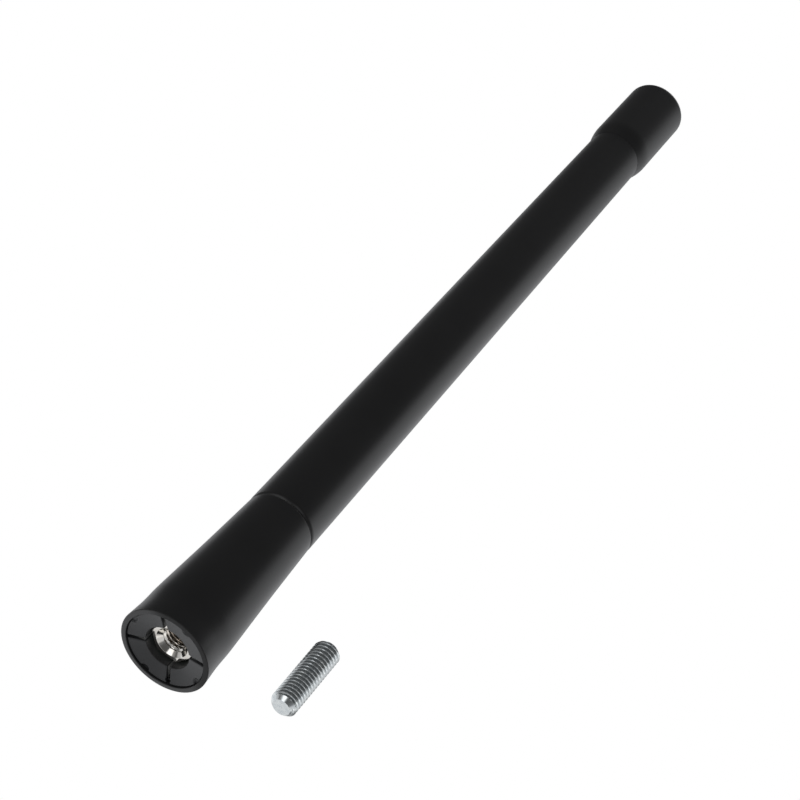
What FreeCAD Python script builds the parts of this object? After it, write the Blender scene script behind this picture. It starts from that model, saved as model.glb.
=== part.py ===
import FreeCAD, Part
import math
import os

# Short roof rod of a car radio: a flared foot, a slim rubber mast and a push-on tip cap.
# Millimetres. The rod stands on the rim of its foot, with its axis on +Z and z = 0 at the rim.

# Whole rod
rod_length = 200.0
fit_clearance = 0.05
round_steps = 2

# Foot skin: rubber shell with a flared lip, a short band and a straight taper up to the seam
rim_radius = 8.8
lip_height = 5.8
lip_flare = 0.41
band_height = 2.8
band_taper = 0.02
neck_radius = 6.87
foot_height = 37.3
skin_wall = 1.0
rim_edge_round = 0.25
neck_edge_round = 0.2

# Foot core: hard moulding inside the skin, with four slots in its dished end
dish_edge_height = 0.3
dish_pocket_height = 0.95
mouth_gap = 0.14
mouth_gap_depth = 0.9
slot_count = 4
slot_width = 0.6
slot_depth = 3.6
slot_start_angle = 58.0
notch_radius = 0.75
notch_depth = 1.0
notch_start_angle = 5.0
pocket_radius = 4.35
pocket_floor_height = 3.6
spigot_radius = 4.3
spigot_length = 12.0
barb_count = 2
barb_height = 0.3
barb_pitch = 3.2

# Threaded insert: turned from hexagon bar, moulded into the core
insert_end_height = 2.4
hex_across_flats = 7.2
hex_sides = 6
hex_turn = -12.0
hex_length = 6.0
hex_chamfer = 0.2
countersink_radius = 3.15
countersink_depth = 1.05
thread_core_radius = 2.1
thread_length = 10.5
drill_tip_depth = 1.0
shank_radius = 3.0
shank_length = 15.6
shank_groove_count = 2
shank_groove_width = 1.6
shank_groove_depth = 0.4
shank_groove_pitch = 4.0
rod_socket_depth = 8.0

# Mast inside: glass-fibre rod, copper winding and shrink tube
core_rod_radius = 1.5
core_rod_top_gap = 8.0
wire_radius = 0.3
wire_sides = 4
winding_turns = 10
winding_start_gap = 1.2
winding_top_gap = 6.8
tube_wall = 0.4
tube_overlap = 3.0
tube_taper_length = 2.0
tube_top_gap = 6.0

# Mast sleeve: thick rubber tube with a slight taper
sleeve_bottom_radius = 6.9
sleeve_taper = 0.0072
sleeve_edge_round = 0.9
sleeve_top_gap = 3.5

# Tip cap: pushed over the end of the sleeve
cap_length = 22.6
cap_lip = 0.15
cap_ramp_length = 2.6
cap_radius = 6.56
cap_end_radius = 6.49
cap_end_round = 1.0
cap_air_gap = 0.5

# Mounting stud: fully threaded, standing beside the foot
stud_radius = 2.5
stud_length = 16.0
stud_chamfer = 0.6
stud_x = 20.65
stud_y = -10.3

full_turn = 360.0
origin = FreeCAD.Vector(0, 0, 0)
axis = FreeCAD.Vector(0, 0, 1)

# Heights and radii that follow from the sizes above
hex_top = insert_end_height + hex_length
insert_top = hex_top + shank_length
socket_floor = insert_top - rod_socket_depth
spigot_top = foot_height + spigot_length
core_rod_top = rod_length - core_rod_top_gap
winding_radius = core_rod_radius + wire_radius
tube_bore = winding_radius + wire_radius + fit_clearance
tube_radius = tube_bore + tube_wall
tube_bottom = insert_top - tube_overlap
tube_top = rod_length - tube_top_gap
sleeve_top = rod_length - sleeve_top_gap
cap_bottom = rod_length - cap_length


def point(radius, height):
    """A point of a turned profile."""
    return FreeCAD.Vector(radius, 0, height)


def turned(points):
    """A solid turned once round the axis from a closed outline of (radius, height) points."""
    corners = [point(*place) for place in points]
    face = Part.Face(Part.makePolygon(corners + corners[:1]))
    return face.revolve(origin, axis, full_turn)


def rounded_corner(before, corner, after, radius):
    """Points that round a corner of an outline in short chords."""
    corner_point = point(*corner)
    to_before = (point(*before) - corner_point).normalize()
    to_after = (point(*after) - corner_point).normalize()
    half_angle = to_before.getAngle(to_after) / 2
    setback = radius / math.tan(half_angle)
    inward = (to_before + to_after).normalize()
    centre = corner_point + inward * (radius / math.sin(half_angle))
    first = corner_point + to_before * setback - centre
    last = corner_point + to_after * setback - centre
    sweep = first.getAngle(last)
    places = []
    for step in range(round_steps + 1):
        turn = sweep * step / round_steps
        place = centre + (first * math.sin(sweep - turn) + last * math.sin(turn)) / math.sin(sweep)
        places.append((place.x, place.z))
    return places


def flank():
    """Points of the foot's side from the rim to the seam."""
    waist_radius = rim_radius - lip_flare
    taper_start = lip_height + band_height
    return [
        (rim_radius, 0),
        (waist_radius, lip_height),
        (waist_radius - band_taper, taper_start),
        (neck_radius, foot_height),
    ]


def core_side():
    """Straight taper of the core, where the skin sits on it, from the rim to the seam."""
    return [(rim_radius - skin_wall, 0), (neck_radius - skin_wall, foot_height)]


def sleeve_radius(height):
    """Outer radius of the mast sleeve at a height."""
    return sleeve_bottom_radius - sleeve_taper * (height - foot_height)


def hex_corner_radius(across_flats):
    """Distance from a hexagon bar's axis to its corners."""
    return across_flats / 2 / math.cos(math.pi / hex_sides)


def hex_prism(across_flats, low, high):
    """Upright hexagon bar, its first corner turned from the X axis by the hexagon's turn."""
    corner_radius = hex_corner_radius(across_flats)
    corners = []
    for step in range(hex_sides + 1):
        angle = math.radians(hex_turn + full_turn * step / hex_sides)
        across = corner_radius * math.cos(angle)
        along = corner_radius * math.sin(angle)
        corners.append(FreeCAD.Vector(across, along, low))
    face = Part.Face(Part.makePolygon(corners))
    return face.extrude(axis * (high - low))


def spigot_points():
    """Barbed spigot that the mast sleeve grips, from its shoulder to its end."""
    height = spigot_top - barb_count * barb_pitch
    points = [(spigot_radius, foot_height)]
    for barb in range(barb_count):
        points += [(spigot_radius, height), (spigot_radius + barb_height, height)]
        height += barb_pitch
    points.append((spigot_radius, height))
    return points


def shank_points():
    """Shank of the insert with its locking grooves, from the hexagon to its end."""
    floor_radius = shank_radius - shank_groove_depth
    points = [(shank_radius, hex_top)]
    for groove in range(shank_groove_count):
        low = hex_top + shank_groove_width + groove * shank_groove_pitch
        high = low + shank_groove_width
        points += [(shank_radius, low), (floor_radius, low), (floor_radius, high), (shank_radius, high)]
    points.append((shank_radius, insert_top))
    return points


def tube_outside_points(clearance):
    """Outside of the shrink tube: wide over the shank, then tapered down onto the winding."""
    wide = shank_radius + fit_clearance + tube_wall + clearance
    narrow = tube_radius + clearance
    taper_end = insert_top + tube_taper_length
    return [(wide, tube_bottom), (wide, insert_top), (narrow, taper_end)]


def make_foot_skin():
    """Flared rubber skin with a flat rim and a rounded top edge at the seam."""
    outside = flank()
    inside = core_side()
    rim_edge = rounded_corner(inside[0], outside[0], outside[1], rim_edge_round)
    neck_edge = rounded_corner(outside[-2], outside[-1], inside[-1], neck_edge_round)
    return turned([*rim_edge, *outside[1:-1], *neck_edge, *reversed(inside)])


def make_foot_core():
    """Hard core: dished end, insert pocket, four slots, edge notches and a barbed spigot."""
    core_bottom_radius = rim_radius - skin_wall
    body = turned([*core_side(), *spigot_points(), (0, spigot_top), (0, 0)])
    dish = turned([
        (0, -dish_edge_height),
        (rim_radius, -dish_edge_height),
        (rim_radius, 0),
        (core_bottom_radius, dish_edge_height),
        (pocket_radius, dish_pocket_height),
        (0, dish_pocket_height),
    ])
    gap = Part.makeCylinder(rim_radius, mouth_gap_depth)
    gap = gap.cut(Part.makeCylinder(core_bottom_radius - mouth_gap, mouth_gap_depth))
    pocket = Part.makeCylinder(pocket_radius, pocket_floor_height)
    core = body.cut(dish).cut(gap).cut(pocket)
    for number in range(slot_count):
        core = core.cut(slot_cutter(slot_start_angle + number * full_turn / slot_count))
        core = core.cut(notch_cutter(notch_start_angle + number * full_turn / slot_count))
    insert_room = hex_prism(hex_across_flats, 0, hex_top)
    shank_room = turned([(0, hex_top), *shank_points(), (0, insert_top)])
    tube_room = turned([
        (0, tube_bottom),
        *tube_outside_points(fit_clearance),
        (tube_radius + fit_clearance, spigot_top),
        (0, spigot_top),
    ])
    return core.cut(insert_room).cut(shank_room).cut(tube_room)


def slot_cutter(angle):
    """One radial slot from the pocket out to the skin."""
    cutter = Part.makeBox(rim_radius, slot_width, slot_depth)
    cutter.translate(FreeCAD.Vector(0, -slot_width / 2, 0))
    cutter.rotate(origin, axis, angle)
    return cutter


def notch_cutter(angle):
    """One half-round notch in the edge of the dished end."""
    cutter = Part.makeCylinder(notch_radius, notch_depth)
    cutter.translate(FreeCAD.Vector(rim_radius - skin_wall - mouth_gap, 0, 0))
    cutter.rotate(origin, axis, angle)
    return cutter


def make_threaded_insert():
    """Hexagon insert with a countersink, the thread's bore, a grooved shank and a rod socket."""
    head = hex_prism(hex_across_flats, insert_end_height, hex_top)
    corner_radius = hex_corner_radius(hex_across_flats)
    envelope = turned([
        (0, insert_end_height),
        (corner_radius - hex_chamfer, insert_end_height),
        (corner_radius, insert_end_height + hex_chamfer),
        (corner_radius, hex_top),
        (0, hex_top),
    ])
    shank = turned([(0, hex_top), *shank_points(), (0, insert_top)])
    thread_start = insert_end_height + countersink_depth
    thread_end = thread_start + thread_length
    bore = turned([
        (0, insert_end_height),
        (countersink_radius, insert_end_height),
        (thread_core_radius, thread_start),
        (thread_core_radius, thread_end),
        (0, thread_end + drill_tip_depth),
    ])
    socket = Part.makeCylinder(core_rod_radius, rod_socket_depth, FreeCAD.Vector(0, 0, socket_floor))
    return head.common(envelope).fuse(shank).removeSplitter().cut(bore).cut(socket)


def make_core_rod():
    """Glass-fibre rod from the insert's socket up to the tip."""
    rod_length_inside = core_rod_top - socket_floor
    return Part.makeCylinder(core_rod_radius, rod_length_inside, FreeCAD.Vector(0, 0, socket_floor))


def make_winding():
    """Copper wire wound round the rod in one open helix."""
    start_height = insert_top + winding_start_gap
    winding_height = core_rod_top - winding_top_gap - start_height
    winding_pitch = winding_height / winding_turns
    helix = Part.makeHelix(winding_pitch, winding_height, winding_radius)
    helix.translate(FreeCAD.Vector(0, 0, start_height))
    rise = math.atan2(winding_pitch, 2 * math.pi * winding_radius)
    corners = []
    for step in range(wire_sides + 1):
        angle = (step + 0.5) * 2 * math.pi / wire_sides
        across = wire_radius * math.cos(angle)
        along = wire_radius * math.sin(angle)
        corners.append(FreeCAD.Vector(
            winding_radius + across,
            -along * math.sin(rise),
            start_height + along * math.cos(rise),
        ))
    section = Part.makePolygon(corners)
    return Part.Wire(helix.Edges).makePipeShell([section], True, True)


def make_shrink_tube():
    """Shrink tube over the winding, drawn in from the insert's shank."""
    wide_bore = shank_radius + fit_clearance
    taper_end = insert_top + tube_taper_length
    return turned([
        (wide_bore, tube_bottom),
        *tube_outside_points(0),
        (tube_radius, tube_top),
        (tube_bore, tube_top),
        (tube_bore, taper_end),
        (wide_bore, insert_top + fit_clearance),
    ])


def make_mast_sleeve():
    """Tapered rubber sleeve that grips the spigot and holds the wound rod."""
    bottom = (sleeve_bottom_radius, foot_height)
    top = (sleeve_radius(sleeve_top), sleeve_top)
    bottom_edge = rounded_corner((spigot_radius, foot_height), bottom, top, sleeve_edge_round)
    bore = tube_radius + fit_clearance
    return turned([*bottom_edge, top, (bore, sleeve_top), (bore, spigot_top), *reversed(spigot_points())])


def make_tip_cap():
    """Cap with a ramped lower edge and a flat, softly rounded end."""
    bore_bottom = sleeve_radius(cap_bottom)
    bore_top = sleeve_radius(sleeve_top)
    air_height = sleeve_top + cap_air_gap
    shoulder = (cap_radius, cap_bottom + cap_ramp_length)
    corner = (cap_end_radius, rod_length)
    return turned([
        *rounded_corner(shoulder, corner, (0, rod_length), cap_end_round),
        (0, rod_length),
        (0, air_height),
        (bore_top, air_height),
        (bore_top, sleeve_top),
        (bore_bottom, cap_bottom),
        (bore_bottom + cap_lip, cap_bottom),
        shoulder,
    ])


def make_mounting_stud():
    """Plain body of the stud at its thread's outer size, chamfered at both ends."""
    stud = turned([
        (0, 0),
        (stud_radius - stud_chamfer, 0),
        (stud_radius, stud_chamfer),
        (stud_radius, stud_length - stud_chamfer),
        (stud_radius - stud_chamfer, stud_length),
        (0, stud_length),
    ])
    stud.translate(FreeCAD.Vector(stud_x, stud_y, 0))
    return stud


nodes = {
    "foot_skin": make_foot_skin,
    "foot_core": make_foot_core,
    "threaded_insert": make_threaded_insert,
    "core_rod": make_core_rod,
    "winding": make_winding,
    "shrink_tube": make_shrink_tube,
    "mast_sleeve": make_mast_sleeve,
    "tip_cap": make_tip_cap,
    "mounting_stud": make_mounting_stud,
}

os.makedirs("parts", exist_ok=True)
for name, make in nodes.items():
    shape = make()
    shape.exportStep(f"parts/{name}.step")
    print(name, len(shape.Solids), "solid", round(shape.Volume, 2), "mm3", shape.isValid())
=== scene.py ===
import bmesh
import bpy
import math
from mathutils import Matrix, Vector


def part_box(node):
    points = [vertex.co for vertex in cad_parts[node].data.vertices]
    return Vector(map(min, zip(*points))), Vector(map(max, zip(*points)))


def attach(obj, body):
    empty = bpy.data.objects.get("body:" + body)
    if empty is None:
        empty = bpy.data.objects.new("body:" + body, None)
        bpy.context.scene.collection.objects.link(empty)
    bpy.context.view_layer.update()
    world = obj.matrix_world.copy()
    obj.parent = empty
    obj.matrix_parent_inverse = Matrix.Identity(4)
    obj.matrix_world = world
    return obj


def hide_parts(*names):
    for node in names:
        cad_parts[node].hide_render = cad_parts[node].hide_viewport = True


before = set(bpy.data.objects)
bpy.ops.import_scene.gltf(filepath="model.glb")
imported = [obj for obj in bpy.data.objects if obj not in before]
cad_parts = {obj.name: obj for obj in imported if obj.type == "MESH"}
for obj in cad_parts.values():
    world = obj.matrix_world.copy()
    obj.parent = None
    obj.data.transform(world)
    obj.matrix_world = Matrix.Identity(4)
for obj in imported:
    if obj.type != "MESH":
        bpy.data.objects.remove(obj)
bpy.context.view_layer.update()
mm = 0.001

# Camera, fitted to the outline in the photo: it looks up at the foot from below
camera_place = Vector((0.0011624, -0.3573911, -0.2618237))
camera_right = Vector((0.742175, -0.463709, 0.483892))
camera_up = Vector((-0.670207, -0.513503, 0.535853))
camera_lens = 117.0
camera_shift = (-0.0003, 0.0006)
camera_clip = 0.01

# Turned pieces
turned_columns = 192
round_steps = 8
sharp_angle = math.radians(38)
hold = 0.12 * mm
weld_distance = 0.0005 * mm

# Foot: its side bends gently through these heights and radii, in millimetres
foot_side = (
    (0.0, 8.79), (1.2, 8.70), (2.6, 8.58), (4.4, 8.45), (6.2, 8.40), (8.2, 8.38),
    (11.3, 8.23), (17.3, 7.88), (23.7, 7.52), (30.1, 7.21), (37.3, 6.87),
)
flank_steps = 4
skin_wall = 1.0 * mm
rim_edge_round = 0.16 * mm
rim_crown = 0.03 * mm
rim_crown_parts = (0.2, 0.35, 0.5, 0.65)
rim_edge_end = 3
neck_edge_round = 0.2 * mm
lip_round = 0.12 * mm

# Core's dished end, with angles in degrees
pocket_radius = 4.35 * mm
pocket_floor = 3.6 * mm
dish_edge_height = 0.3 * mm
dish_pocket_height = 0.95 * mm
mouth_gap = 0.08 * mm
mouth_gap_depth = 0.5 * mm
slot_angles = (58, 148, 238, 328)
slot_width = 0.74 * mm
slot_floor = 3.6 * mm
notch_angles = (5, 95, 185, 275)
notch_radius = 0.75 * mm
notch_depth = 0.66 * mm
notch_slope = 0.24 * mm
edge_round = 0.16 * mm
core_seat_step = 0.02 * mm
slot_roof = 0.4 * mm
spigot_radius = 4.3 * mm
spigot_length = 12.0 * mm
barb_height = 0.3 * mm
barb_pitch = 3.2 * mm
barb_count = 2
gate_angle = math.radians(58)
gate_place = 7.0 * mm
gate_radius = 0.5 * mm
gate_depth = 2.2 * mm
gate_pip_radius = 0.2 * mm
gate_pip_height = 0.75 * mm
tube_radius = 3.45 * mm
tube_clearance = 0.05 * mm

# Core's rows and columns, closer by the slots and the notches; steps and reaches in degrees
face_rows = 14
notch_rows = 22
slot_wall_step = 0.004 * mm
slot_edge_parts = (0.15, 0.4, 0.7, 1.0, 1.6)
notch_columns = 24
notch_column_step = 0.35
plain_column_step = 3
slot_reach = 8
notch_reach = 10

# Hexagon insert
hex_sides = 6
hex_apothem = 3.7 * mm
hex_turn = math.radians(-12)
hex_length = 6.0 * mm
hex_chamfer = 0.2 * mm
hex_edge = 0.03 * mm
mouth_radius = 3.15 * mm
mouth_round = 0.08 * mm
countersink_depth = 1.05 * mm
bore_tip = 14.95 * mm
shank_radius = 3.0 * mm
groove_count = 2
groove_floor = 2.6 * mm
groove_width = 1.6 * mm
groove_pitch = 4.0 * mm
socket_radius = 1.5 * mm
socket_depth = 8.0 * mm

# Threads: the M5 coarse profile
thread_pitch = 0.8 * mm
thread_outside = 2.5 * mm
thread_core = 2.02 * mm
bore_core = 2.1 * mm
thread_length = 10.5 * mm
thread_root_part = 0.13
thread_flank_part = 0.64
thread_weld = 0.0004 * mm
row_tolerance = 1e-5
bore_rows = 200
stud_rows = 322
stud_columns = 128
stud_chamfer = 0.8 * mm

# Mast and cap
sleeve_bottom_radius = 6.9 * mm
sleeve_top_radius = 5.754 * mm
sleeve_edge_round = 0.9 * mm
sleeve_bore = 2.55 * mm
cap_ramp = 2.6 * mm
cap_ramp_round = 12.0 * mm
cap_lip = 0.03 * mm
cap_end_radius = 6.49 * mm
cap_end_round = 1.3 * mm
cap_wall_top = 3.0 * mm

# Winding
wire_radius = 0.28 * mm
wire_sides = 10
winding_turns = 10
winding_steps = 32
winding_radius = 1.8 * mm

# Finishes: linear colours, and the spans over which they change
noise_span = (0.3, 0.7)
rubber_cloud = 9 * mm
rubber_grain = 0.22 * mm
rubber_grain_depth = 0.008 * mm
rubber_blacks = ((0.0135, 0.0134, 0.0136), (0.0160, 0.0159, 0.0161))
# Painted shade: the rubber's colour toward the top of the mast, darker than its own black
rubber_tip_painted_shade = (0.0115, 0.0115, 0.0117)
rubber_tip_span = (95 * mm, 170 * mm)
rim_span = (0.05 * mm, 0.3 * mm)
pressed_toward = (0.5, -0.87)
pressed_span = (0.5 * mm, 5 * mm)
plastic_cloud = 3 * mm
plastic_grain = 0.3 * mm
plastic_grain_depth = 0.01 * mm
plastic_greys = ((0.018, 0.0183, 0.0195), (0.023, 0.0234, 0.0248))
# Painted light: greys that lift the core's colour deeper in and down its slots, where shade falls
plastic_depth_painted_light = (0.030, 0.034, 0.030)
plastic_slot_painted_light = (0.30, 0.30, 0.29)
plastic_depth_span = (1.3 * mm, 3.0 * mm)
slot_depth_span = (1.0 * mm, 1.5 * mm)
slot_start_span = (4.45 * mm, 4.8 * mm)
nickel_stains = 0.9 * mm
nickel_mark_depth = 0.0015 * mm
nickel_tool_pitch = 0.09 * mm
nickel_tones = ((0.68, 0.66, 0.62), (0.60, 0.57, 0.52))
nickel_stain_span = (0.35, 0.75)
# Partly brass and partly painted shade: the bore's warm tone, darkened deeper in
bore_brass_and_painted_shade = (0.36, 0.30, 0.24)
bore_depth_span = (3.6 * mm, 5.6 * mm)
bore_wall_span = (2.7 * mm, 2.9 * mm)
zinc_stains = 0.8 * mm
zinc_mark_depth = 0.001 * mm
zinc_ring_pitch = 0.16 * mm
zinc_stain_span = (0.3, 0.75)
zinc_tones = ((0.68, 0.705, 0.70), (0.57, 0.605, 0.62))
fibre_strand = 0.12 * mm
fibre_strand_depth = 0.01 * mm
fibre_tones = ((0.50, 0.48, 0.36), (0.70, 0.68, 0.56))
copper_cloud = 2.5 * mm
copper_tones = ((0.60, 0.26, 0.12), (0.76, 0.38, 0.20))
shrink_grain = 0.5 * mm
shrink_grain_depth = 0.02 * mm
shrink_blacks = ((0.016, 0.016, 0.017), (0.024, 0.024, 0.025))

# Light round the part: direction, inner and outer half angle in degrees, radiance
soft_lights = (
    ((0.68, 0.33, 0.57), 30, 48, 0.78),
    ((-0.32, 0.92, -0.25), 15, 54, 1.0),
    ((0.0, 0.0, 1.0), 8, 22, 1.0),
    ((-0.40, -0.48, -0.78), 9, 17, 1.6),
    ((0.83, 0.05, -0.55), 14, 26, 0.7),
    ((-0.86, 0.28, -0.42), 10, 22, 0.5),
    ((-0.20, 0.05, -0.98), 14, 32, 0.3),
    ((0.62, 0.50, -0.60), 14, 30, 0.7),
    ((-0.78, -0.52, -0.35), 12, 30, 0.7),
    ((0.20, -0.90, -0.35), 10, 25, 0.6),
    ((0.42, -0.04, -0.90), 14, 26, 0.6),
    ((-0.38, 0.71, 0.59), 8, 24, 0.62),
)
room_light = 0.12
room_tint = (0.97, 0.98, 1.0)

# Floor: pale paper, cleared away from the part
floor_cloud = 60 * mm
floor_tones = ((0.90, 0.90, 0.90), (0.94, 0.94, 0.94))
floor_half_size = 0.4
floor_fade_span = (0.10, 0.34)

# Sizes read from the frame
foot_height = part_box("foot_skin")[1].z
insert_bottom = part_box("threaded_insert")[0].z
insert_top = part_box("threaded_insert")[1].z
sleeve_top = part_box("mast_sleeve")[1].z
stud_low, stud_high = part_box("mounting_stud")
stud_axis = Vector(((stud_low.x + stud_high.x) / 2, (stud_low.y + stud_high.y) / 2, 0))
stud_length = stud_high.z

# Sizes that follow from the ones above
rim_radius = foot_side[0][1] * mm
neck_radius = foot_side[-1][1] * mm
core_mouth_radius = rim_radius - skin_wall
core_edge_radius = core_mouth_radius - mouth_gap
hex_top = insert_bottom + hex_length
hex_corner = hex_apothem / math.cos(math.pi / hex_sides)


class Value:
    """One output of a node tree, with arithmetic."""

    def __init__(self, tree, socket):
        self.tree = tree
        self.socket = socket

    def maths(self, operation, *others):
        """The result of a Math node on this value and others."""
        node = self.tree.nodes.new("ShaderNodeMath")
        node.operation = operation
        for target, value in zip(node.inputs, (self, *others)):
            feed(self.tree, target, value)
        return Value(self.tree, node.outputs[0])

    def __add__(self, other):
        return self.maths("ADD", other)

    def __radd__(self, other):
        return self.maths("ADD", other)

    def __sub__(self, other):
        return self.maths("SUBTRACT", other)

    def __rsub__(self, other):
        return (self * -1.0).maths("ADD", other)

    def __mul__(self, other):
        return self.maths("MULTIPLY", other)

    def __rmul__(self, other):
        return self.maths("MULTIPLY", other)

    def __truediv__(self, other):
        return self.maths("DIVIDE", other)

    def __rtruediv__(self, other):
        return self.maths("POWER", -1.0) * other

    def rise(self, low, high):
        """0 below low, 1 above high and a smooth step between them."""
        node = self.tree.nodes.new("ShaderNodeMapRange")
        node.interpolation_type = "SMOOTHSTEP"
        for name, value in {"Value": self, "From Min": low, "From Max": high}.items():
            feed(self.tree, node.inputs[name], value)
        return Value(self.tree, node.outputs["Result"])


def feed(tree, target, value):
    """Link a value into an input, or set it there."""
    if isinstance(value, Value):
        tree.links.new(value.socket, target)
    else:
        target.default_value = value


def colour(value):
    """A colour with its alpha; a value of the node tree stays as it is."""
    return value if isinstance(value, Value) else (*value, 1.0)


class Graph:
    """A node tree with one call for any node."""

    def __init__(self, tree):
        self.tree = tree

    def node(self, kind, inputs=None, output=0, **settings):
        """One output of a new node; its settings come before its inputs."""
        node = self.tree.nodes.new(kind)
        for name, value in settings.items():
            setattr(node, name, value)
        for name, value in (inputs or {}).items():
            feed(self.tree, node.inputs[name], value)
        return Value(self.tree, node.outputs[output])

    def parts(self, vector):
        """X, Y and Z of a vector."""
        node = self.tree.nodes.new("ShaderNodeSeparateXYZ")
        feed(self.tree, node.inputs[0], vector)
        return [Value(self.tree, output) for output in node.outputs]

    def blend(self, factor, low, high):
        """A colour between two colours; sockets 6, 7 and output 2 are a Mix node's colours."""
        node = self.tree.nodes.new("ShaderNodeMix")
        node.data_type = "RGBA"
        feed(self.tree, node.inputs[0], factor)
        feed(self.tree, node.inputs[6], colour(low))
        feed(self.tree, node.inputs[7], colour(high))
        return Value(self.tree, node.outputs[2])


class Finish(Graph):
    """A material whose values vary over the piece's own coordinates."""

    def __init__(self, name, **constants):
        self.material = bpy.data.materials.new(name)
        self.material.use_nodes = True
        super().__init__(self.material.node_tree)
        self.shader = self.tree.nodes["Principled BSDF"]
        for socket, value in constants.items():
            self.shader.inputs[socket.replace("_", " ")].default_value = value
        self.place = self.node("ShaderNodeTexCoord", output="Object")
        self.x, self.y, self.z = self.parts(self.place)

    def set(self, socket, value):
        """Give a value to one of the shader's inputs."""
        feed(self.tree, self.shader.inputs[socket], value)

    def noise(self, size, detail=3.0, stretch=(1, 1, 1), seed=0.0):
        """Noise of a feature size in metres, about 0 to 1."""
        place = self.node(
            "ShaderNodeMapping",
            {"Vector": self.place, "Scale": stretch, "Location": (seed, seed, seed)},
        )
        return self.node(
            "ShaderNodeTexNoise",
            {"Vector": place, "Scale": 1 / size, "Detail": detail},
            output="Fac",
        )

    def bump(self, height, depth, strength=1.0):
        """Raise the surface by a height, through its normal."""
        inputs = {"Height": height, "Distance": depth, "Strength": strength}
        self.set("Normal", self.node("ShaderNodeBump", inputs, output="Normal"))

    def radius(self, centre=(0, 0)):
        """Distance from an upright axis."""
        across = self.x - centre[0]
        along = self.y - centre[1]
        return (across * across + along * along).maths("SQRT")


def make_rubber():
    """Satin black moulded rubber with a fine grain, more matt toward the top, where its colour is
    also darkened as painted shade.
    """
    rubber = Finish("black_rubber", IOR=1.5)
    cloud = rubber.noise(rubber_cloud, detail=4)
    grain = rubber.noise(rubber_grain, detail=2)
    tone = rubber.blend(cloud.rise(*noise_span), *rubber_blacks)
    # Painted shade: the colour darkens toward the top; the same rise also makes the rubber more
    # matt
    tip_shade_and_matt = rubber.z.rise(*rubber_tip_span)
    rubber.set("Base Color", rubber.blend(tip_shade_and_matt, tone, rubber_tip_painted_shade))
    rim = 1 - rubber.z.rise(*rim_span)
    aside = rubber.x * pressed_toward[0] + rubber.y * pressed_toward[1]
    pressed = rim * aside.rise(*pressed_span)
    rubber.set("Roughness", 0.29 + cloud * 0.04 + grain * 0.05 + pressed * 0.45 + tip_shade_and_matt * 0.09)
    rubber.bump(grain, rubber_grain_depth, 0.5)
    return rubber.material


def make_hard_plastic():
    """Dark grey moulding, glossier on its face and matt inside, with painted light lifting its
    colour deeper in and making it pale down its slots.
    """
    plastic = Finish("hard_plastic", IOR=1.5)
    cloud = plastic.noise(plastic_cloud, detail=4)
    grain = plastic.noise(plastic_grain, detail=2, seed=3.0)
    # Painted light: deeper in the core and down its slots the colour is lifted against the shade
    # there; depth also makes the moulding matt
    depth = plastic.z.rise(*plastic_depth_span)
    tone = plastic.blend(cloud.rise(*noise_span), *plastic_greys)
    slots = plastic.z.rise(*slot_depth_span) * plastic.radius().rise(*slot_start_span)
    inside = plastic.blend(slots, plastic_depth_painted_light, plastic_slot_painted_light)
    plastic.set("Base Color", plastic.blend(depth.maths("MAXIMUM", slots), tone, inside))
    plastic.set("Roughness", 0.36 + grain * 0.1 + depth * 0.25)
    plastic.bump(grain, plastic_grain_depth, 0.4)
    return plastic.material


def make_nickel():
    """Nickel plate on turned brass, warmer down the bore where the brass shows, and darker there as
    painted shade.
    """
    nickel = Finish("nickel_plate", Metallic=1.0)
    radius = nickel.radius()
    tool_marks = (radius * (2 * math.pi / nickel_tool_pitch)).maths("SINE")
    stains = nickel.noise(nickel_stains, detail=5)
    # Painted shade with the brass: deeper down the bore the colour turns warmer and darker, and the
    # metal rougher
    deep_brass_and_shade = nickel.z.rise(*bore_depth_span) * (1 - radius.rise(*bore_wall_span))
    plate = nickel.blend(stains.rise(*nickel_stain_span), *nickel_tones)
    nickel.set("Base Color", nickel.blend(deep_brass_and_shade, plate, bore_brass_and_painted_shade))
    nickel.set("Roughness", 0.07 + stains * 0.07 + deep_brass_and_shade * 0.1)
    nickel.bump(tool_marks * 0.4 + stains, nickel_mark_depth, 0.3)
    return nickel.material


def make_zinc():
    """Bright zinc plate with faint stains and a turned end face."""
    zinc = Finish("zinc_plate", Metallic=1.0)
    radius = zinc.radius((stud_axis.x, stud_axis.y))
    rings = (radius * (2 * math.pi / zinc_ring_pitch)).maths("SINE")
    stains = zinc.noise(zinc_stains, detail=5)
    zinc.set("Base Color", zinc.blend(stains.rise(*zinc_stain_span), *zinc_tones))
    zinc.set("Roughness", 0.15 + stains * 0.10)
    zinc.bump(rings * 0.5 + stains, zinc_mark_depth, 0.3)
    return zinc.material


def make_glass_fibre():
    """Straight glass fibres in yellowish resin."""
    fibre = Finish("glass_fibre", IOR=1.5)
    strands = fibre.noise(fibre_strand, detail=3, stretch=(1, 1, 0.02))
    fibre.set("Base Color", fibre.blend(strands.rise(*noise_span), *fibre_tones))
    fibre.set("Roughness", 0.25 + strands * 0.2)
    fibre.bump(strands, fibre_strand_depth, 0.5)
    return fibre.material


def make_copper():
    """Enamelled copper wire, slightly uneven in tone."""
    copper = Finish("copper_wire", Metallic=1.0, Coat_Weight=0.6)
    tone = copper.noise(copper_cloud, detail=3)
    copper.set("Base Color", copper.blend(tone.rise(*noise_span), *copper_tones))
    copper.set("Roughness", 0.22 + tone * 0.15)
    return copper.material


def make_shrink_plastic():
    """Black shrink tube with a faint drawn texture."""
    shrink = Finish("shrink_plastic", IOR=1.5)
    drawn = shrink.noise(shrink_grain, detail=3, stretch=(1, 1, 0.1))
    shrink.set("Base Color", shrink.blend(drawn.rise(*noise_span), *shrink_blacks))
    shrink.set("Roughness", 0.45 + drawn * 0.15)
    shrink.bump(drawn, shrink_grain_depth, 0.5)
    return shrink.material


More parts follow.
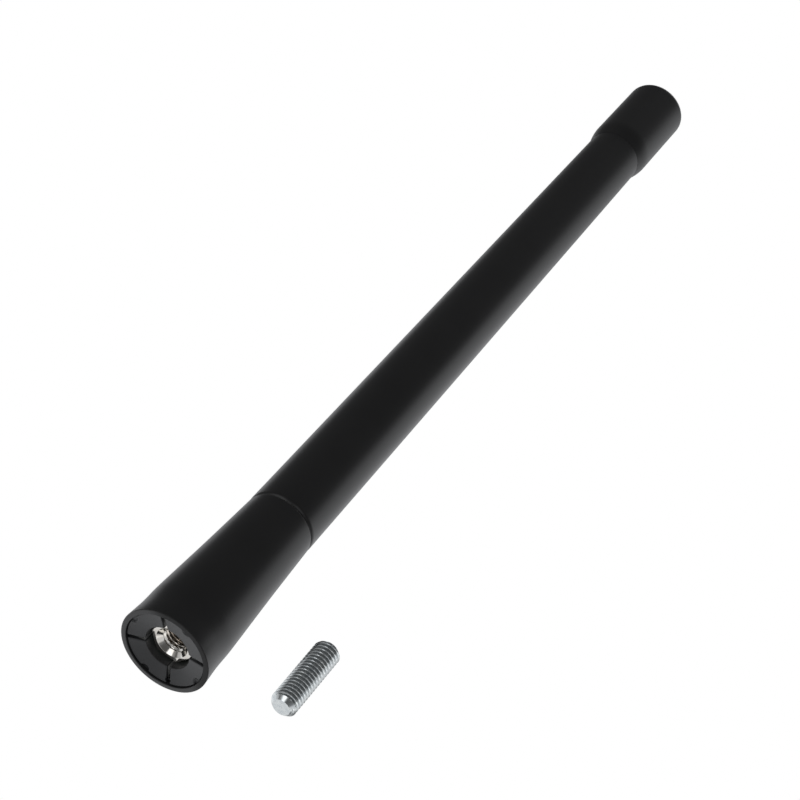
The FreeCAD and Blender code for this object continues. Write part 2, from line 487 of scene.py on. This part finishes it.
def add_piece(name, mesh, material):
    """Place a finished mesh as a piece that rides with the part and stands for its own node."""
    mesh.validate()
    mesh.materials.clear()
    mesh.materials.append(material)
    mesh.shade_smooth()
    mesh.set_sharp_from_angle(angle=sharp_angle)
    piece = bpy.data.objects.new(name + "_look", mesh)
    bpy.context.scene.collection.objects.link(piece)
    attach(piece, "root")
    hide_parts(name)


def rings_to_mesh(rings, close_rows):
    """Points and outward faces of a grid of rings; each ring is a list of points."""
    columns = len(rings[0])
    points = [place for places in rings for place in places]
    faces = []
    for row in range(len(rings) if close_rows else len(rings) - 1):
        this = row * columns
        following = (row + 1) % len(rings) * columns
        for column in range(columns):
            beside = (column + 1) % columns
            faces.append((this + column, this + beside, following + beside, following + column))
    return points, faces


def joined(mesh, *others):
    """A mesh with others joined to it: doubled points become one and the faces look outward."""
    work = bmesh.new()
    for part in (mesh, *others):
        work.from_mesh(part)
    bmesh.ops.remove_doubles(work, verts=work.verts, dist=weld_distance)
    bmesh.ops.recalc_face_normals(work, faces=work.faces)
    work.to_mesh(mesh)
    work.free()
    return mesh


def welded(name, rings, close_rows=False):
    """A mesh of a grid of rings, with doubled points joined and flat faces dropped."""
    points, faces = rings_to_mesh(rings, close_rows)
    mesh = bpy.data.meshes.new(name)
    mesh.from_pydata(points, [], faces)
    return joined(mesh)


def ring_angles():
    """Angles of a ring's points; a hexagon's corners are among them."""
    return [hex_turn + 2 * math.pi * step / turned_columns for step in range(turned_columns)]


def ring(radius, height):
    """A level circle of points round the axis."""
    return [(radius * math.cos(angle), radius * math.sin(angle), height) for angle in ring_angles()]


def rounded(before, corner, after, size):
    """Points of the arc that rounds a corner of a profile."""
    corner = Vector(corner)
    to_before = (Vector(before) - corner).normalized()
    to_after = (Vector(after) - corner).normalized()
    half_angle = to_before.angle(to_after) / 2
    centre = corner + (to_before + to_after).normalized() * (size / math.sin(half_angle))
    first = corner + to_before * (size / math.tan(half_angle)) - centre
    last = corner + to_after * (size / math.tan(half_angle)) - centre
    sweep = first.angle(last)
    places = []
    for step in range(round_steps + 1):
        turn = sweep * step / round_steps
        arm = (first * math.sin(sweep - turn) + last * math.sin(turn)) / math.sin(sweep)
        places.append(tuple(centre + arm))
    return places


def between(start, end, part):
    """The point at a part of the way from one point to another."""
    return tuple(a + (b - a) * part for a, b in zip(start, end))


def even_steps(start, end, count):
    """Points evenly spaced between two points, without the two."""
    return [between(start, end, step / count) for step in range(1, count)]


def held(profile):
    """A closed profile with a row beside both ends of each long side, which keeps its shading."""
    places = []
    for start, end in zip(profile, profile[1:] + profile[:1]):
        places.append(start)
        length = math.dist(start, end)
        if length > 4 * hold:
            near = hold / length
            places += [between(start, end, near), between(start, end, 1 - near)]
    return places


def turned(name, profile, material):
    """Place a piece turned from a closed profile of (radius, height) points."""
    rings = [ring(*place) for place in held(profile)]
    add_piece(name, welded(name, rings, close_rows=True), material)


def flank():
    """The foot's side from the rim up to the seam, as a smooth line through its named points."""
    ends = [foot_side[0], *foot_side, foot_side[-1]]
    places = []
    for before, low, high, after in zip(ends, ends[1:], ends[2:], ends[3:]):
        rise = high[0] - low[0]
        start_slope = (high[1] - before[1]) / (high[0] - before[0]) * rise
        end_slope = (after[1] - low[1]) / (after[0] - low[0]) * rise
        for step in range(flank_steps):
            part = step / flank_steps
            ease = part * part * (3 - 2 * part)
            radius = low[1] + (high[1] - low[1]) * ease
            radius += start_slope * part * (1 - part) ** 2 - end_slope * part ** 2 * (1 - part)
            places.append((radius * mm, (low[0] + rise * part) * mm))
    return [*places, (foot_side[-1][1] * mm, foot_height)]


def core_side():
    """Straight taper of the core, where the skin sits on it: its ends at the rim and the seam."""
    return (core_mouth_radius, 0), (neck_radius - skin_wall, foot_height)


def core_side_radius(height):
    """Radius of the core's taper at a height."""
    (low_radius, low), (high_radius, high) = core_side()
    return low_radius + (high_radius - low_radius) * (height - low) / (high - low)


def make_foot_skin():
    """Flared rubber skin, with a soft rim, a fine lip round the core and an edge at the seam."""
    outside = flank()
    side = outside[rim_edge_end:-1]
    bottom, top = core_side()
    crown = [
        (core_mouth_radius + skin_wall * part, rim_crown * part * part) for part in rim_crown_parts
    ]
    rim_edge = rounded(crown[-1], (rim_radius, rim_crown), side[0], rim_edge_round)
    neck_edge = rounded(side[-1], outside[-1], top, neck_edge_round)
    lip = rounded(top, bottom, outside[0], lip_round)
    profile = [*crown, *rim_edge, *side, *neck_edge, top, *lip]
    turned("foot_skin", profile, rubber)


def spigot_profile():
    """The barbed spigot from its shoulder to its end."""
    height = foot_height + spigot_length - barb_count * barb_pitch
    places = [(spigot_radius, foot_height)]
    for _ in range(barb_count):
        places += [(spigot_radius, height), (spigot_radius + barb_height, height)]
        height += barb_pitch
    return [*places, (spigot_radius, height)]


def nearest(degree, angles):
    """Degrees from a direction to the nearest of some others."""
    return min(abs((degree - angle + 180) % 360 - 180) for angle in angles)


def core_columns():
    """Angles and side shifts of the core's columns, closer by the slots and the notches."""
    columns = []
    half = slot_width / 2
    shifts = [0, half * 0.5, half, half + slot_wall_step]
    shifts += [half + edge_round * part for part in slot_edge_parts]
    for slot_angle in slot_angles:
        for shift in shifts:
            columns += [(math.radians(slot_angle), shift), (math.radians(slot_angle), -shift)]
    for notch_angle in notch_angles:
        for step in range(-notch_columns, notch_columns + 1):
            columns.append((math.radians(notch_angle + step * notch_column_step), 0.0))
    for degree in range(0, 360, plain_column_step):
        by_slot = nearest(degree, slot_angles) < slot_reach
        by_notch = nearest(degree, notch_angles) < notch_reach
        if not by_slot and not by_notch:
            columns.append((math.radians(degree), 0.0))
    turn = 2 * math.pi
    return sorted(set(columns), key=lambda column: (column[0] + column[1] / pocket_radius) % turn)


def soft_edge(distance):
    """How far a rounded edge falls away at a distance from the wall below it."""
    if distance >= edge_round:
        return 0.0
    return edge_round - math.sqrt(edge_round ** 2 - (edge_round - max(distance, 0.0)) ** 2)


def distance_from(x, y, radius, angle):
    """How far a place lies from the point at a radius and an angle."""
    return math.hypot(x - radius * math.cos(angle), y - radius * math.sin(angle))


def core_end_height(x, y, height):
    """Height of the core's end at a place, with its slots, notches and gate mark."""
    result = height
    for slot_angle in slot_angles:
        angle = math.radians(slot_angle)
        along = x * math.cos(angle) + y * math.sin(angle)
        aside = abs(y * math.cos(angle) - x * math.sin(angle)) - slot_width / 2
        if along > 0 and aside <= slot_wall_step / 4:
            result = max(result, slot_floor)
        elif along > 0 and height < slot_floor - edge_round:
            result = max(result, height + soft_edge(aside))
    for notch_angle in notch_angles:
        away = distance_from(x, y, core_edge_radius, math.radians(notch_angle)) - notch_radius
        fall = min(max((notch_slope - away) / (2 * notch_slope), 0.0), 1.0)
        fall = fall * fall * (3 - 2 * fall)
        result = max(result, height + (notch_depth - height) * fall)
    away = distance_from(x, y, gate_place, gate_angle)
    if away < gate_pip_radius:
        return gate_pip_height
    return max(result, gate_depth) if away < gate_radius else result


def core_face():
    """The dished face of the core from its pocket to its edge, with closer rows by the notches."""
    inner = (pocket_radius, dish_pocket_height)
    outer = (core_edge_radius, dish_edge_height)
    pocket_edge = rounded((pocket_radius, pocket_floor), inner, outer, edge_round)
    outer_edge = rounded(inner, outer, (core_edge_radius, mouth_gap_depth), edge_round)
    notch_inside = core_edge_radius - notch_radius - 2 * notch_slope
    notch_start = between(inner, outer, (notch_inside - inner[0]) / (outer[0] - inner[0]))
    face = even_steps(pocket_edge[-1], notch_start, face_rows)
    face += even_steps(notch_start, outer_edge[0], notch_rows)
    return [*pocket_edge, *face, *outer_edge]


def make_foot_core():
    """Hard moulding with its dished, slotted end round the hexagon insert, and its barbed spigot.

    A profile point without a radius lies on the hexagon's side.
    """
    slot_top = slot_floor + slot_roof
    tube_room = tube_radius + tube_clearance
    profile = [
        (None, pocket_floor),
        (pocket_radius, pocket_floor),
        *core_face(),
        (core_edge_radius, mouth_gap_depth),
        (core_edge_radius, notch_depth),
        (core_side_radius(notch_depth), notch_depth + core_seat_step),
        (core_side_radius(slot_top), slot_top),
        core_side()[1],
        *spigot_profile(),
        (tube_room, foot_height + spigot_length),
        (tube_room, insert_top),
        (shank_radius, insert_top),
        (shank_radius, hex_top),
        (None, hex_top),
    ]
    columns = core_columns()
    rings = []
    for radius, height in profile:
        places = []
        for angle, shift in columns:
            reach = hex_radius(angle) if radius is None else radius
            turn = angle + math.asin(shift / reach)
            x, y = reach * math.cos(turn), reach * math.sin(turn)
            at_end = radius is not None and height < slot_top
            places.append((x, y, core_end_height(x, y, height) if at_end else height))
        rings.append(places)
    core = welded("foot_core", rings, close_rows=True)
    add_piece("foot_core", core, hard_plastic)


def hex_radius(angle):
    """Distance from the axis to the hexagon's side in a direction."""
    sector = 2 * math.pi / hex_sides
    return hex_apothem / math.cos((angle - hex_turn) % sector - sector / 2)


def hex_ring(height, chamfer=0.0):
    """A ring along the hexagon's side; the corners beyond the chamfer start step up."""
    places = []
    for angle in ring_angles():
        radius = hex_radius(angle)
        over = max(0.0, radius - (hex_corner - hex_chamfer))
        places.append((radius * math.cos(angle), radius * math.sin(angle), height + over * chamfer))
    return places


def chamfer_ring(height):
    """The edge where the flat end meets the turned chamfer of the corners."""
    places = []
    for angle in ring_angles():
        radius = min(hex_radius(angle) - hex_edge, hex_corner - hex_chamfer)
        places.append((radius * math.cos(angle), radius * math.sin(angle), height))
    return places


def shape_group(name, whole_numbers, lengths):
    """An empty geometry node group with named inputs, as its graph and the values of its inputs."""
    group = bpy.data.node_groups.new(name, "GeometryNodeTree")
    group.interface.new_socket("Geometry", in_out="OUTPUT", socket_type="NodeSocketGeometry")
    for kind, names in (
        ("NodeSocketInt", whole_numbers),
        ("NodeSocketFloat", lengths),
        ("NodeSocketMaterial", ("Finish",)),
    ):
        for input_name in names:
            group.interface.new_socket(input_name, in_out="INPUT", socket_type=kind)
    inlet = group.nodes.new("NodeGroupInput")
    given = {output.name: Value(group, output) for output in inlet.outputs if output.name}
    return Graph(group), given


def finish_group(graph, shape, material):
    """Close a node group: its shape as a real mesh with its material."""
    real = graph.node("GeometryNodeRealizeInstances", {"Geometry": shape})
    inputs = {"Geometry": real, "Material": material}
    finished = graph.node("GeometryNodeSetMaterial", inputs)
    outlet = graph.tree.nodes.new("NodeGroupOutput")
    feed(graph.tree, outlet.inputs[0], finished)
    return graph.tree


def thread_group():
    """Node group that winds a screw thread round a plain grid, inside or outside."""
    graph, given = shape_group("screw_thread", ("Columns", "Rows"), (
        "Pitch", "Length", "Core Radius", "Outside Radius", "Lead Radius", "Lead Length",
        "End Radius", "End Length", "Inside", "Close Start", "Tip Depth",
    ))
    group = graph.tree
    grid = group.nodes.new("GeometryNodeMeshGrid")
    for target, value in zip(grid.inputs, (1.0, 1.0, given["Rows"], given["Columns"])):
        feed(group, target, value)
    across, around, _ = graph.parts(graph.node("GeometryNodeInputPosition"))
    angle = (around + 0.5) * (2 * math.pi)
    end_row = 1 / (given["Rows"] - 1)
    raw = (across + 0.5 - end_row) / (1 - 2 * end_row)
    height = raw.maths("MAXIMUM", 0.0).maths("MINIMUM", 1.0) * given["Length"]
    turns = (height / given["Pitch"] - angle / (2 * math.pi)).maths("FRACT")
    wave = (turns - 0.5).maths("ABSOLUTE") * 2
    flank_part = (wave - thread_root_part) / thread_flank_part
    flank_part = flank_part.maths("MAXIMUM", 0.0).maths("MINIMUM", 1.0)
    core, outside = given["Core Radius"], given["Outside Radius"]
    thread = core + (outside - core) * flank_part
    inside = given["Inside"]
    crest = core * inside + outside * (1 - inside)
    lead_part = (height / given["Lead Length"]).maths("MINIMUM", 1.0)
    lead = given["Lead Radius"] + (crest - given["Lead Radius"]) * lead_part
    end_part = ((given["Length"] - height) / given["End Length"]).maths("MINIMUM", 1.0)
    end = given["End Radius"] + (crest - given["End Radius"]) * end_part
    outer_form = thread.maths("MINIMUM", lead).maths("MINIMUM", end)
    inner_form = thread.maths("MAXIMUM", lead)
    radius = inner_form * inside + outer_form * (1 - inside)
    at_end = raw.maths("GREATER_THAN", 1.0 + row_tolerance)
    at_start = raw.maths("LESS_THAN", -row_tolerance) * given["Close Start"]
    radius = radius * (1 - at_end) * (1 - at_start)
    place = group.nodes.new("ShaderNodeCombineXYZ")
    feed(group, place.inputs[0], radius * angle.maths("COSINE"))
    feed(group, place.inputs[1], radius * angle.maths("SINE"))
    feed(group, place.inputs[2], height + at_end * given["Tip Depth"])
    shaped = graph.node(
        "GeometryNodeSetPosition",
        {"Geometry": Value(group, grid.outputs[0]), "Position": Value(group, place.outputs[0])},
    )
    inputs = {"Geometry": shaped, "Distance": thread_weld}
    merged = graph.node("GeometryNodeMergeByDistance", inputs)
    return finish_group(graph, merged, given["Finish"])


def grown(group, values):
    """A plain mesh from a node group run with named values."""
    carrier = bpy.data.objects.new("carrier", bpy.data.meshes.new("carrier"))
    bpy.context.scene.collection.objects.link(carrier)
    modifier = carrier.modifiers.new("grow", "NODES")
    modifier.node_group = group
    for item in group.interface.items_tree:
        if item.in_out == "INPUT" and item.name in values:
            modifier[item.identifier] = values[item.name]
    shown = carrier.evaluated_get(bpy.context.evaluated_depsgraph_get())
    mesh = bpy.data.meshes.new_from_object(shown)
    bpy.data.objects.remove(carrier)
    return mesh


def make_threaded_insert():
    """Hexagon insert with its countersink, its thread and its socket for the rod."""
    thread_start = insert_bottom + countersink_depth
    thread_end = thread_start + thread_length
    mouth, face = (mouth_radius, insert_bottom), (hex_apothem, insert_bottom)
    mouth_edge = rounded((bore_core, thread_start), mouth, face, mouth_round)
    lead_radius, lead_height = mouth_edge[0]
    bore = grown(threads, {
        "Columns": turned_columns + 1,
        "Rows": bore_rows,
        "Pitch": thread_pitch,
        "Length": thread_end - lead_height,
        "Core Radius": bore_core,
        "Outside Radius": thread_outside,
        "Lead Radius": lead_radius,
        "Lead Length": thread_start - lead_height,
        "End Radius": bore_core,
        "End Length": thread_pitch,
        "Inside": 1.0,
        "Close Start": 0.0,
        "Tip Depth": bore_tip - thread_end,
        "Finish": nickel,
    })
    bore.transform(Matrix.Translation((0, 0, lead_height)) @ Matrix.Rotation(hex_turn, 4, "Z"))
    rings = [
        *[ring(*place) for place in mouth_edge],
        chamfer_ring(insert_bottom),
        hex_ring(insert_bottom + hex_edge, chamfer=1.0),
        hex_ring(hex_top),
        ring(shank_radius, hex_top),
    ]
    for groove in range(groove_count):
        low = hex_top + groove_width + groove * groove_pitch
        rings += [ring(shank_radius, low), ring(groove_floor, low)]
        rings += [ring(groove_floor, low + groove_width), ring(shank_radius, low + groove_width)]
    rings += [
        ring(shank_radius, insert_top),
        ring(socket_radius, insert_top),
        ring(socket_radius, insert_top - socket_depth),
        ring(0.0, insert_top - socket_depth),
    ]
    body = joined(welded("threaded_insert", rings), bore)
    add_piece("threaded_insert", body, nickel)


def make_mounting_stud():
    """Fully threaded stud, chamfered at both ends."""
    stud = grown(threads, {
        "Columns": stud_columns,
        "Rows": stud_rows,
        "Pitch": thread_pitch,
        "Length": stud_length,
        "Core Radius": thread_core,
        "Outside Radius": thread_outside,
        "Lead Radius": thread_outside - stud_chamfer,
        "Lead Length": stud_chamfer,
        "End Radius": thread_outside - stud_chamfer,
        "End Length": stud_chamfer,
        "Inside": 0.0,
        "Close Start": 1.0,
        "Tip Depth": 0.0,
        "Finish": zinc,
    })
    stud.transform(Matrix.Translation(stud_axis))
    add_piece("mounting_stud", joined(stud), zinc)


def winding_group():
    """Node group that winds a round wire in an open helix."""
    graph, given = shape_group("wire_winding", ("Steps per Turn", "Wire Sides"), (
        "Turns", "Radius", "Height", "Wire Radius",
    ))
    helix = graph.node("GeometryNodeCurveSpiral", {
        "Resolution": given["Steps per Turn"],
        "Rotations": given["Turns"],
        "Start Radius": given["Radius"],
        "End Radius": given["Radius"],
        "Height": given["Height"],
    })
    inputs = {"Resolution": given["Wire Sides"], "Radius": given["Wire Radius"]}
    section = graph.node("GeometryNodeCurvePrimitiveCircle", inputs)
    inputs = {"Curve": helix, "Profile Curve": section, "Fill Caps": True}
    wire = graph.node("GeometryNodeCurveToMesh", inputs)
    return finish_group(graph, wire, given["Finish"])


def make_winding():
    """Copper wire wound round the rod, as long as the part's own winding."""
    low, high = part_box("winding")
    wire = grown(winding_group(), {
        "Steps per Turn": winding_steps,
        "Wire Sides": wire_sides,
        "Turns": float(winding_turns),
        "Radius": winding_radius,
        "Height": high.z - low.z - 2 * wire_radius,
        "Wire Radius": wire_radius,
        "Finish": copper,
    })
    wire.transform(Matrix.Translation((0, 0, low.z + wire_radius)))
    add_piece("winding", wire, copper)


def make_mast_sleeve():
    """Tapered rubber tube, rounded at the seam above the foot, on the core's barbed spigot."""
    bottom = (sleeve_bottom_radius, foot_height)
    top = (sleeve_top_radius, sleeve_top)
    bottom_edge = rounded((spigot_radius, foot_height), bottom, top, sleeve_edge_round)
    bore_top = foot_height + spigot_length
    profile = [*bottom_edge, top, (sleeve_bore, sleeve_top), (sleeve_bore, bore_top)]
    profile += list(reversed(spigot_profile()))
    turned("mast_sleeve", profile, rubber)


def make_tip_cap():
    """Cap over the mast's end, with a soft ramp below and a rounded flat end."""
    low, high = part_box("tip_cap")
    shoulder = (high.x, low.z + cap_ramp)
    slope = (sleeve_bottom_radius - sleeve_top_radius) / (sleeve_top - foot_height)
    bore_bottom = sleeve_bottom_radius - slope * (low.z - foot_height)
    ramp_foot = (bore_bottom + cap_lip, low.z)
    corner = (cap_end_radius, high.z)
    ramp_edge = rounded(ramp_foot, shoulder, corner, cap_ramp_round)
    end_edge = rounded(shoulder, corner, (0, high.z), cap_end_round)
    profile = [
        *ramp_edge,
        *end_edge,
        (0.0, high.z),
        (0.0, high.z - cap_wall_top),
        (sleeve_top_radius, high.z - cap_wall_top),
        (sleeve_top_radius, sleeve_top),
        (bore_bottom, low.z),
        ramp_foot,
    ]
    turned("tip_cap", profile, rubber)


def carry_over(name, material):
    """Give a node of the frame its finish."""
    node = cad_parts[name]
    node.data.materials.clear()
    node.data.materials.append(material)


def make_surroundings():
    """White behind the part for the camera, and soft bright areas round it for its light."""
    world = bpy.data.worlds.new("studio")
    bpy.context.scene.world = world
    world.use_nodes = True
    graph = Graph(world.node_tree)
    direction = graph.node("ShaderNodeTexCoord", output="Generated")
    light = 0.0
    for toward, inner, outer, strength in soft_lights:
        facing = graph.node(
            "ShaderNodeVectorMath",
            {0: direction, 1: Vector(toward).normalized()},
            output="Value",
            operation="DOT_PRODUCT",
        )
        edge, full = math.cos(math.radians(outer)), math.cos(math.radians(inner))
        light = facing.rise(edge, full) * strength + light
    light = light + room_light
    white = graph.node("ShaderNodeLightPath", output="Is Camera Ray")
    background = world.node_tree.nodes["Background"]
    feed(graph.tree, background.inputs["Color"], graph.blend(white, room_tint, (1.0, 1.0, 1.0)))
    feed(graph.tree, background.inputs["Strength"], light * (1 - white) + white)


def make_floor():
    """Pale floor, seen only from above and only near the part."""
    paper = Finish("floor_paper", Roughness=0.9)
    pale = paper.noise(floor_cloud, detail=2)
    paper.set("Base Color", paper.blend(pale, *floor_tones))
    back = paper.node("ShaderNodeNewGeometry", output="Backfacing")
    clear = paper.node("ShaderNodeBsdfTransparent")
    faded = paper.radius().rise(*floor_fade_span)
    cover = back + (1 - back) * faded
    solid = Value(paper.tree, paper.shader.outputs[0])
    mixed = paper.node("ShaderNodeMixShader", {0: cover, 1: solid, 2: clear})
    feed(paper.tree, paper.tree.nodes["Material Output"].inputs["Surface"], mixed)
    corners = ((-1, -1), (1, -1), (1, 1), (-1, 1))
    places = [(x * floor_half_size, y * floor_half_size, 0) for x, y in corners]
    mesh = bpy.data.meshes.new("floor")
    mesh.from_pydata(places, [], [(0, 1, 2, 3)])
    mesh.materials.append(paper.material)
    floor = bpy.data.objects.new("floor", mesh)
    bpy.context.scene.collection.objects.link(floor)
    floor.visible_diffuse = False
    floor.visible_glossy = False
    floor.visible_transmission = False
    floor.visible_shadow = False


def make_camera():
    """The photo's camera."""
    data = bpy.data.cameras.new("camera")
    data.lens = camera_lens
    data.shift_x, data.shift_y = camera_shift
    camera = bpy.data.objects.new("camera", data)
    bpy.context.scene.collection.objects.link(camera)
    back = camera_right.cross(camera_up).normalized()
    turn = Matrix((camera_right, camera_up, back)).transposed().to_4x4()
    camera.matrix_world = Matrix.Translation(camera_place) @ turn
    data.clip_start = camera_clip
    bpy.context.scene.camera = camera


rubber = make_rubber()
hard_plastic = make_hard_plastic()
nickel = make_nickel()
zinc = make_zinc()
copper = make_copper()
threads = thread_group()
make_foot_skin()
make_foot_core()
make_threaded_insert()
make_winding()
make_mast_sleeve()
make_tip_cap()
make_mounting_stud()
carry_over("core_rod", make_glass_fibre())
carry_over("shrink_tube", make_shrink_plastic())
make_surroundings()
make_floor()
make_camera()
bpy.context.scene.view_settings.view_transform = "Standard"
